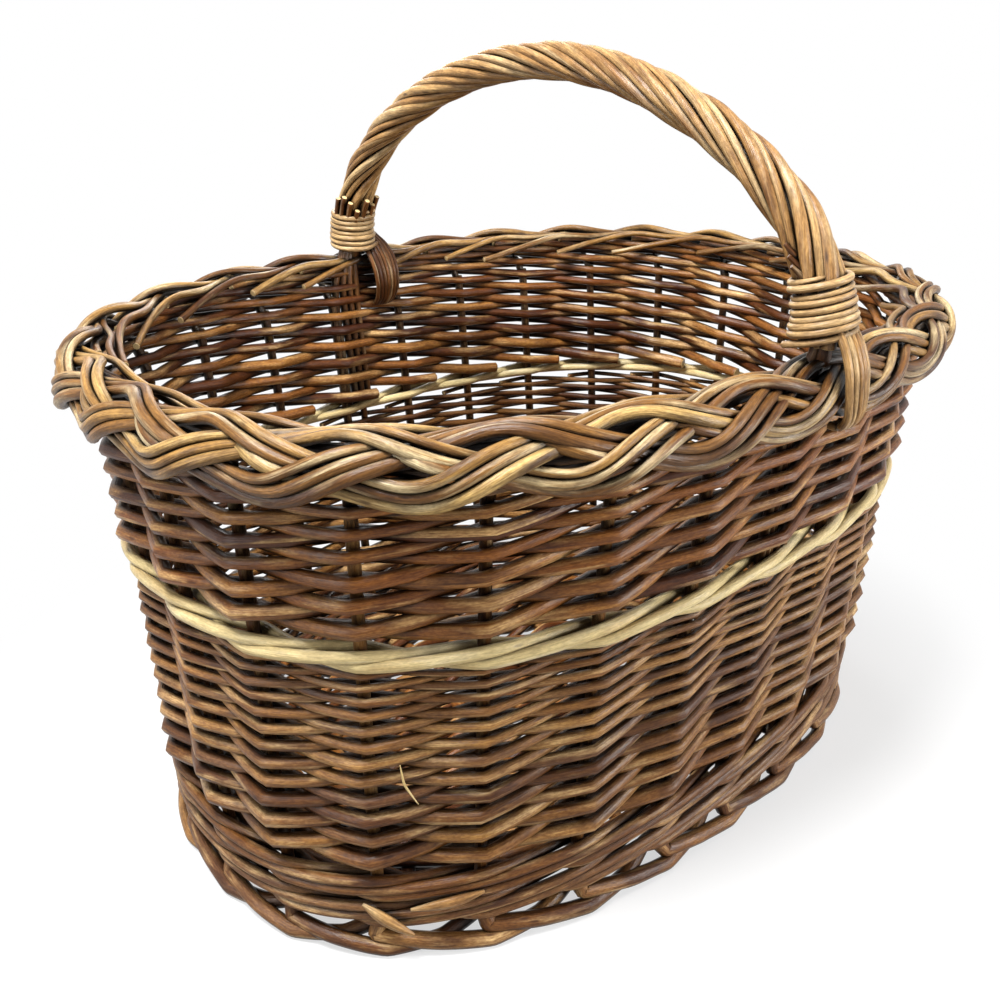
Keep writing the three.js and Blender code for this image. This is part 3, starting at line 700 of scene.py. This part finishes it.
# Start is how far along the arch from its foot the lowest turn lies, and the rings are the distances
# from the bow's centre
bindingSpec = {
    "lowRing": 14.1, "highRing": 13.0, "rodRadius": 1.75, "pitch": 3.35, "slant": 0.9, "tone": 0.95,
    "varyPitch": 0.08, "varyRing": 0.3, "unevenness": 0.06, "dive": 3.5, "diveTurn": 0.2, "turnPoints": 30,
    "tail": (7, 1), "tailPoints": 5,
    "front": {"turns": 8, "start": -1.0, "phase": 4.3}, "rear": {"turns": 7, "start": -6, "phase": 2.4},
}


def bindingRod(foot):
    # turns round the foot by a pitch a turn, wider below, slanted by a sine and uneven; its upper
    # end dives inwards and its lower end stands off as a short straight tail
    spec, turns, start = bindingSpec, bindingSpec[foot]["turns"], bindingSpec[foot]["start"]
    t = np.linspace(0, turns + spec["diveTurn"], int(turns * spec["turnPoints"]))
    turn = 2 * np.pi * t + spec[foot]["phase"]
    wander = np.interp(t, np.arange(-1, turns + 2), rng.normal(size=turns + 3))
    length = start + (t + spec["varyPitch"] * wander) * spec["pitch"] + spec["slant"] * np.sin(turn)
    middle = start + turns * spec["pitch"] / 2
    if foot == "rear":
        length, middle = archLength - length, archLength - middle
    centre, _ = archPoint(length)
    _, away = archPoint(np.array([middle]))
    outward = away * np.cos(turn)[:, None] + np.array([1.0, 0, 0]) * np.sin(turn)[:, None]
    ring = spec["lowRing"] + (spec["highRing"] - spec["lowRing"]) * t / turns + spec["varyRing"] * wander
    ring = ring - spec["dive"] * np.clip((t - turns) / spec["diveTurn"], 0, 1)
    path = centre + outward * ring[:, None]
    backwards = np.linspace(*spec["tail"], spec["tailPoints"])[:, None]
    tail = path[0] - unit(path[3] - path[0]) * backwards
    path = np.concatenate([tail, path])
    back = np.concatenate([np.broadcast_to(outward[0], tail.shape), outward])
    return rod(path, back, spec["rodRadius"] * uneven(len(path), spec["unevenness"], 12), tone=spec["tone"])


buildPiece("frontBinding", [bindingRod("front")], 10, "buff", ["front_binding"])
buildPiece("rearBinding", [bindingRod("rear")], 10, "buff", ["rear_binding"])

# The front bundle goes from under the binding over the outside of the border and in below it, the
# rear one from under the binding over the inside of the border and out below it
tuckSpec = {
    "front": {
        "spine": [(7, -191, 309), (7, -197, 303), (6.5, -203, 295), (6, -207, 285), (6.5, -208, 272),
                  (8, -207, 263), (8.5, -203, 257.5), (8.5, -197, 257.5)],
        "pitches": (2.4, 2.7, 3.1, 3.3, 3.1, 2.5, 2.0, 1.8), "rods": 5, "radius": 2.0, "tones": (0.55, 1.0),
    },
    "rear": {
        "spine": [(5, 186, 303), (6, 181, 297), (8, 174, 291), (9, 168, 284), (9.5, 164, 275),
                  (10, 163.5, 265), (10.5, 167, 256), (11, 174, 250)],
        "pitches": (1.6, 2.2, 2.8, 3.0, 2.9, 2.7, 2.4, 2.0), "rods": 7, "radius": 1.6, "tones": (0.0, 0.14),
    },
    "proud": 1.4, "back": (0, -1, 0.3), "unevenness": 0.06, "step": 2, "soften": 10,
}


def tuckBundle(place):
    # rods side by side along a spine by the pitch at each of its points, the middle ones a little
    # proud by the sine of their place in the row
    spec, own = tuckSpec, tuckSpec[place]
    rods = []
    for i in range(own["rods"]):
        points = np.array(own["spine"], float)
        points[:, 0] += (i - (own["rods"] - 1) / 2) * np.array(own["pitches"])
        points[:, 1] -= spec["proud"] * np.sin(np.pi * (i + 0.5) / own["rods"])
        path = pathThrough(points, spec["step"], spec["soften"])
        radius = own["radius"] * uneven(len(path), spec["unevenness"], 8)
        rods.append(rod(path, spec["back"], radius, tone=toneBetween(*own["tones"])))
    return rods


# Turns are degrees round the bow, rises go along it and rings are distances from its centre
cutEndSpec = {"turns": (130, 155, 185, 205, 228, 250, 272), "rises": (13, 9, 15, 5, 10, 12, 8),
              "leans": (0.4, 0.2, 1.2, 0.8, 0.5, 0.3, 0.2), "start": 8, "covered": 11,
              "rings": (12.2, 13.2), "radius": 1.8, "points": 12, "tones": (0.05, 0.2)}


def rearCutEnds():
    # the last rod ends of the rope, cut above the rear binding: each starts under it at its own
    # turn round the bow, rises along the rope and leans out
    spec = cutEndSpec
    start, count = archLength - spec["start"], spec["points"]
    rods = []
    for turn, rise, lean in zip(spec["turns"], spec["rises"], spec["leans"]):
        length = np.linspace(start, start - spec["covered"] - rise, count)
        distance = np.linspace(spec["rings"][0], spec["rings"][1] + lean, count)
        path, outward = roundArch(length, distance, np.full(count, np.radians(turn)))
        rods.append(rod(path, outward, spec["radius"], tone=toneBetween(*spec["tones"])))
    return rods


buildPiece("frontTuckedRods", tuckBundle("front"), 8, "buff", ["front_tucked_ends"])
buildPiece("rearTuckedRods", tuckBundle("rear") + rearCutEnds(), 8, "buff", ["rear_tucked_ends"])

# Loose bits: splinters at the foot, a straw caught in the weave and a cut side shoot

# The splinters and the straw have stations of place, height and outset
looseSpec = {
    "splinters": [[(13.9, 36, 10), (14.1, 29, 12.2), (14.36, 20, 14.2)],
                  [(15.0, 39.5, 9), (14.7, 38, 11.4), (14.34, 36, 12.4)]],
    "splinterRadius": 2.3, "splinterTones": (0.72, 0.78), "splinterSpreads": (1.5, 1.4),
    "straw": [(14.3, 125.5, 9), (14.33, 115, 10.5), (14.44, 104.5, 12)],
    "strawRadius": 0.6, "strawTone": 0.0, "points": 24, "soften": 6, "tip": 0.25, "sineShare": (0.03, 0.97),
}
shootSpec = {"rises": (38, 33, 44), "turns": (259, 263, 256), "rings": (13.5, 15, 12), "firstRing": 9.5,
             "length": 7, "radius": 1.7, "tip": 0.6, "tone": 0.05, "points": 8}


def wallBit(stations, radius, tone, spread=1.0):
    # through stations of place, height and outset; its thickness follows a sine, thin at both ends
    spec = looseSpec
    stations = np.array(stations, float)
    index = np.arange(len(stations))
    at = np.linspace(0, len(stations) - 1, spec["points"])
    place, height, outset = [softened(np.interp(at, index, row), spec["soften"]) for row in stations.T]
    path, outward = wallPoint(place, height, outset)
    bulge = np.sin(np.pi * np.linspace(*spec["sineShare"], len(path)))
    return rod(path, outward, radius * (spec["tip"] + (1 - spec["tip"]) * bulge), tone=tone, spread=spread)


def sideShoot():
    # two stubs and a curl of bark on the -X side of the front foot, just over the binding, each
    # along the rope at its own turn round it, leaning out and a little thinner at its end
    spec = shootSpec
    count = spec["points"]
    stubs = []
    for rise, turn, ring in zip(spec["rises"], spec["turns"], spec["rings"]):
        length = np.linspace(rise - spec["length"], rise, count)
        distance = np.linspace(spec["firstRing"], ring, count)
        path, outward = roundArch(length, distance, np.full(count, np.radians(turn)))
        radius = spec["radius"] * np.linspace(1, spec["tip"], count)
        stubs.append(rod(path, outward, radius, tone=spec["tone"], cutEnd=False))
    return stubs


splinterSpecs = zip(*[looseSpec[key] for key in ("splinters", "splinterTones", "splinterSpreads")])
splinters = [wallBit(one, looseSpec["splinterRadius"], *finish) for one, *finish in splinterSpecs]
straw = wallBit(looseSpec["straw"], looseSpec["strawRadius"], looseSpec["strawTone"])
buildPiece("looseSplinters", splinters, 8, "buff", [])
buildPiece("caughtStraw", [straw], 8, "peeled", [])
buildPiece("handleSideShoot", sideShoot(), 8, "buff", [])

# Base: cross sticks, long sticks through them and rods woven round

baseSpec = {"height": 28.25, "edge": 8.8, "longSticks": 3, "longPitch": 4.9, "crossSticks": 7,
            "crossSpacing": 32.0, "longRadius": 2.2, "crossRadius": 3.9, "stickStep": 6,
            "stickSoften": 24, "stickUnevenness": 0.03, "weavers": 2, "rows": 20, "weaveRadius": 2.85,
            "weaveSpread": 1.12, "weaveStep": 0.125, "weaveSoften": 4, "weaveUnevenness": 0.04}


def baseEnds():
    # where each stick's free part starts on the spine and ends at the wall, anticlockwise
    spec = baseSpec
    spine = []
    for side in (1, -1):
        for i in range(spec["longSticks"]):
            spine.append((side * (spec["crossSticks"] + 1) * spec["crossSpacing"] / 2,
                          side * (i - (spec["longSticks"] - 1) / 2) * spec["longPitch"], spec["height"]))
        for i in range(spec["crossSticks"]):
            spine.append((side * ((spec["crossSticks"] - 1) / 2 - i) * spec["crossSpacing"],
                          side * spec["longSticks"] * spec["longPitch"] / 2, spec["height"]))
    turns = (np.arange(len(spine)) - (spec["longSticks"] - 1) / 2) / len(spine)
    edge, _ = wallPoint(turns * wall["stakes"] - wall["shift"], spec["height"], -spec["edge"])
    return np.array(spine), edge


def baseRods():
    # a stick runs from the wall over its place on the spine to the wall opposite; the weavers wind
    # in from the wall to the spine, a row deeper at every half round, over a stick and under the
    # next, where the long sticks count as one
    spec = baseSpec
    spine, edge = baseEnds()
    upwards = (0, 0, 1.0)
    long, cross = spec["longSticks"], spec["crossSticks"]
    half = long + cross
    ends = [(i, half + long - 1 - i, spec["longRadius"]) for i in range(long)]
    ends += [(long + i, 2 * half - 1 - i, spec["crossRadius"]) for i in range(cross)]
    sticks, weave = [], []
    for near, far, thickness in ends:
        points = [edge[far], spine[far], spine[near], edge[near]]
        path = pathThrough(points, spec["stickStep"], spec["stickSoften"])
        sticks.append(rod(path, upwards, thickness * uneven(len(path), spec["stickUnevenness"], 8)))
    for chaser in range(spec["weavers"]):
        first = -half * (2 - chaser)
        last = 2 * half * (spec["rows"] // 2 - 1) + half * (1 - chaser)
        index = np.arange(first, last + 1)
        inHalf = index % half
        passed = chaser + np.cumsum((inHalf == 0) | (inHalf >= long))
        depth = np.maximum((0.5 + chaser + index / half) / spec["rows"], 0)
        start, end = edge[index % (2 * half)], spine[index % (2 * half)]
        points = start + (end - start) * depth[:, None]
        points[:, 2] += np.where(passed % 2 == 0, 1, -1) * (spec["crossRadius"] + spec["weaveRadius"])
        fine = np.arange(first, last, spec["weaveStep"])
        path = [softened(np.interp(fine, index, row), spec["weaveSoften"]) for row in points.T]
        path = np.stack(path, -1)
        radius = spec["weaveRadius"] * uneven(len(path), spec["weaveUnevenness"], 12)
        weave.append(rod(path, upwards, radius, spread=spec["weaveSpread"]))
    return sticks, weave


baseSticks, baseWeave = baseRods()
stickNodes = [f"base_long_stick_{i + 1}" for i in range(baseSpec["longSticks"])]
stickNodes += [f"base_cross_stick_{i + 1}" for i in range(baseSpec["crossSticks"])]
buildPiece("baseSticks", baseSticks, 10, "bark", stickNodes)
buildPiece("baseWeaveRods", baseWeave, 8, "bark", ["base_weave_1", "base_weave_2"])

# Floor, backdrop and light

stageSpec = {"floorSize": 12.0, "floorRoughness": 0.9, "floorColour": (0.9, 0.9, 0.9),
             "bounceColour": (0.26, 0.25, 0.23), "whiteShare": 0.62, "fade": (0.22, 0.42),
             "ambient": 0.05, "backdrop": 1.0}


def makeFloor(spec):
    # a square on the ground; the camera and reflections see it mixed with white light, by the white
    # share near the basket and wholly beyond the fade, and the other rays meet a darker floor, so
    # that little light bounces up
    half = spec["floorSize"] / 2
    corners = [(-half, -half, 0), (half, -half, 0), (half, half, 0), (-half, half, 0)]
    mesh = bpy.data.meshes.new("studioFloor")
    mesh.from_pydata(corners, [], [(0, 1, 2, 3)])
    material = bpy.data.materials.new("studioWhite")
    material.use_nodes = True
    tree = material.node_tree
    add = nodeAdder(tree)
    rays = add("ShaderNodeLightPath").outputs
    tints = {"Factor": rays["Is Camera Ray"], "A": (*spec["bounceColour"], 1), "B": (*spec["floorColour"], 1)}
    tint = add("ShaderNodeMix", tints, data_type="RGBA").outputs["Result"]
    shader = tree.nodes["Principled BSDF"]
    shader.inputs["Roughness"].default_value = spec["floorRoughness"]
    tree.links.new(tint, shader.inputs["Base Color"])
    rayPair = {0: rays["Is Camera Ray"], 1: rays["Is Glossy Ray"]}
    seen = add("ShaderNodeMath", rayPair, operation="MAXIMUM").outputs[0]
    place = add("ShaderNodeTexCoord").outputs["Object"]
    distance = add("ShaderNodeVectorMath", {0: place}, operation="LENGTH").outputs["Value"]
    near, far = spec["fade"]
    span = {"From Min": near, "From Max": far, "To Min": spec["whiteShare"], "To Max": 1.0}
    fade = add("ShaderNodeMapRange", {"Value": distance, **span}, interpolation_type="SMOOTHSTEP")
    share = add("ShaderNodeMath", {0: seen, 1: fade.outputs["Result"]}, operation="MULTIPLY").outputs[0]
    glow = add("ShaderNodeEmission").outputs["Emission"]
    both = add("ShaderNodeMixShader", {0: share, 1: shader.outputs["BSDF"], 2: glow}).outputs["Shader"]
    tree.links.new(both, tree.nodes["Material Output"].inputs["Surface"])
    mesh.materials.append(material)
    floor = bpy.data.objects.new("studioFloor", mesh)
    bpy.context.collection.objects.link(floor)


def makeWorld(spec):
    # white where the camera sees it, straight, reflected or through something clear, and a weak even
    # light for everything else
    world = bpy.data.worlds.new("studioWorld")
    world.use_nodes = True
    tree = world.node_tree
    add = nodeAdder(tree)
    soft = tree.nodes["Background"]
    soft.inputs["Color"].default_value = (1, 1, 1, 1)
    soft.inputs["Strength"].default_value = spec["ambient"]
    white = add("ShaderNodeBackground", {"Color": (1, 1, 1, 1), "Strength": spec["backdrop"]})
    rays = add("ShaderNodeLightPath").outputs
    seen = rays["Is Camera Ray"]
    for ray in ("Is Glossy Ray", "Is Transmission Ray"):
        seen = add("ShaderNodeMath", {0: seen, 1: rays[ray]}, operation="MAXIMUM").outputs[0]
    shares = {0: seen, 1: soft.outputs["Background"], 2: white.outputs["Background"]}
    both = add("ShaderNodeMixShader", shares).outputs["Shader"]
    tree.links.new(both, tree.nodes["World Output"].inputs["Surface"])
    bpy.context.scene.world = world


lampAim = (0, 0, 0.2)
lampSpecs = [
    {"name": "softTop", "place": (-0.5, -0.1, 1.5), "size": 0.5, "watts": 40},
    {"name": "softLeft", "place": (-1.5, 0.2, 0.7), "size": 0.7, "watts": 11},
    {"name": "softRight", "place": (0.8, -1.45, 0.55), "size": 0.7, "watts": 30},
    {"name": "softBack", "place": (0.7, 1.3, 0.9), "size": 0.7, "watts": 7},
]


def makeLamp(spec):
    # an area lamp turned to the basket's middle; the hair of X serves a lamp straight above it
    data = bpy.data.lights.new(spec["name"], "AREA")
    data.shape, data.size, data.energy = "DISK", spec["size"], spec["watts"]
    lamp = bpy.data.objects.new(spec["name"], data)
    place = np.array(spec["place"])
    back = unit(place - lampAim)
    side = unit(np.cross((0, 0, 1.0), back) + (1e-6, 0, 0))
    lamp.matrix_world = placed(side, np.cross(back, side), back, place)
    bpy.context.collection.objects.link(lamp)


makeFloor(stageSpec)
makeWorld(stageSpec)
for lampSpec in lampSpecs:
    makeLamp(lampSpec)
bpy.context.scene.view_settings.view_transform = "Standard"
print("stage and lights made")
